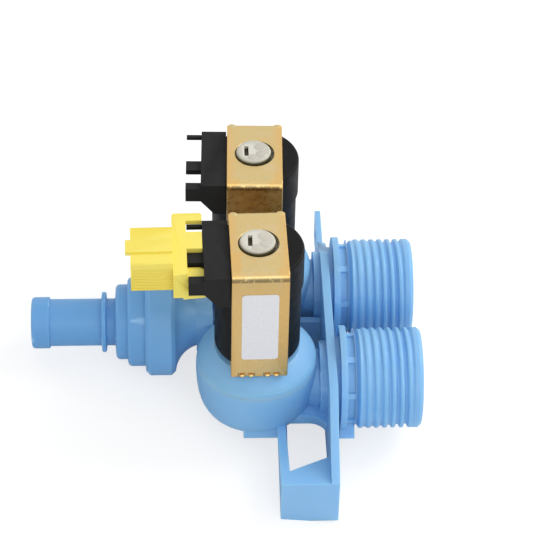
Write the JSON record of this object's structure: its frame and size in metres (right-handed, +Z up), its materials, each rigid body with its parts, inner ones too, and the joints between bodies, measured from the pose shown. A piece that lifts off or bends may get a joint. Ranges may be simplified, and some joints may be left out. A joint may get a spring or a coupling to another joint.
{
  "type": "washing machine inlet valve",
  "caption": "Solenoid water inlet valve for a washing machine, with threaded hose inlets on a mounting plate, upright coils in steel brackets and a stepped hose outlet.",
  "frame": {"origin": "on the outer face of the mounting plate, halfway between the hose inlets and level with their axes", "axes": "+X out through the hose threads, +Y from the front valve with the plug and the hook to the rear valve with the tab, +Z up along the coils"},
  "size_m": [0.1044, 0.0981, 0.0688],
  "materials": {
    "blue_nylon": "semi-gloss moulded nylon, light blue, slightly translucent",
    "black_plastic": "satin glass-filled nylon overmoulding, black",
    "plated_steel": "yellow chromate over zinc plated sheet steel, smooth",
    "white_nylon": "satin natural white nylon",
    "yellow_plastic": "semi-gloss moulded, yellow",
    "label_paper": "smooth coated label",
    "black_rubber": "smooth moulded rubber",
    "plunger_steel": "turned stainless steel",
    "bobbin_plastic": "natural moulded nylon",
    "copper_wire": "enamelled copper wire",
    "tinned_blade": "tin plated brass",
    "grey_plastic": "satin moulded plastic"
  },
  "bodies": {
    "valve": {"valve_body": "blue_nylon", "outlet_fitting": "blue_nylon", "connector_plug": "yellow_plastic", "label": "label_paper", "bonnet_front": "blue_nylon", "bonnet_rear": "blue_nylon", "guide_tube_front": "white_nylon", "guide_tube_rear": "white_nylon", "plunger_spring_front": "plunger_steel", "plunger_spring_rear": "plunger_steel", "diaphragm_front": "black_rubber", "diaphragm_rear": "black_rubber", "coil_bracket_front": "plated_steel", "coil_bracket_rear": "plated_steel", "bracket_base_front": "plated_steel", "bracket_base_rear": "plated_steel", "flux_sleeve_front": "plunger_steel", "flux_sleeve_rear": "plunger_steel", "coil_bobbin_front": "bobbin_plastic", "coil_bobbin_rear": "bobbin_plastic", "copper_winding_front": "copper_wire", "copper_winding_rear": "copper_wire", "coil_body_front": "black_plastic", "coil_body_rear": "black_plastic", "terminal_a_front": "tinned_blade", "terminal_a_rear": "tinned_blade", "terminal_b_front": "tinned_blade", "terminal_b_rear": "tinned_blade", "inlet_screen_front": "grey_plastic", "inlet_screen_rear": "grey_plastic", "flow_washer_front": "black_rubber", "flow_washer_rear": "black_rubber", "washer_retainer_front": "grey_plastic", "washer_retainer_rear": "grey_plastic"},
    "plunger_front": {"plunger_front": "plunger_steel", "plunger_seal_front": "black_rubber"},
    "insert_front": {"diaphragm_insert_front": "white_nylon"},
    "plunger_rear": {"plunger_rear": "plunger_steel", "plunger_seal_rear": "black_rubber"},
    "insert_rear": {"diaphragm_insert_rear": "white_nylon"}
  },
  "joints": [
    {"name": "plunger_front_slide", "type": "slide", "parent": "valve", "child": "plunger_front", "axis": [0, 0, 1], "range_m": [0, 0.0025], "stiffness_N_per_m": 80, "springref_m": -0.004, "deforming": ["plunger_spring_front"]},
    {"name": "insert_front_slide", "type": "slide", "parent": "valve", "child": "insert_front", "axis": [0, 0, 1], "range_m": [0, 0.0025], "deforming": ["diaphragm_front"]},
    {"name": "plunger_rear_slide", "type": "slide", "parent": "valve", "child": "plunger_rear", "axis": [0, 0, 1], "range_m": [0, 0.0025], "stiffness_N_per_m": 80, "springref_m": -0.004, "deforming": ["plunger_spring_rear"]},
    {"name": "insert_rear_slide", "type": "slide", "parent": "valve", "child": "insert_rear", "axis": [0, 0, 1], "range_m": [0, 0.0025], "deforming": ["diaphragm_rear"]}
  ],
  "couplings": [
    {"joint": "insert_front_slide", "follows": "plunger_front_slide", "ratio": 1},
    {"joint": "insert_rear_slide", "follows": "plunger_rear_slide", "ratio": 1}
  ]
}
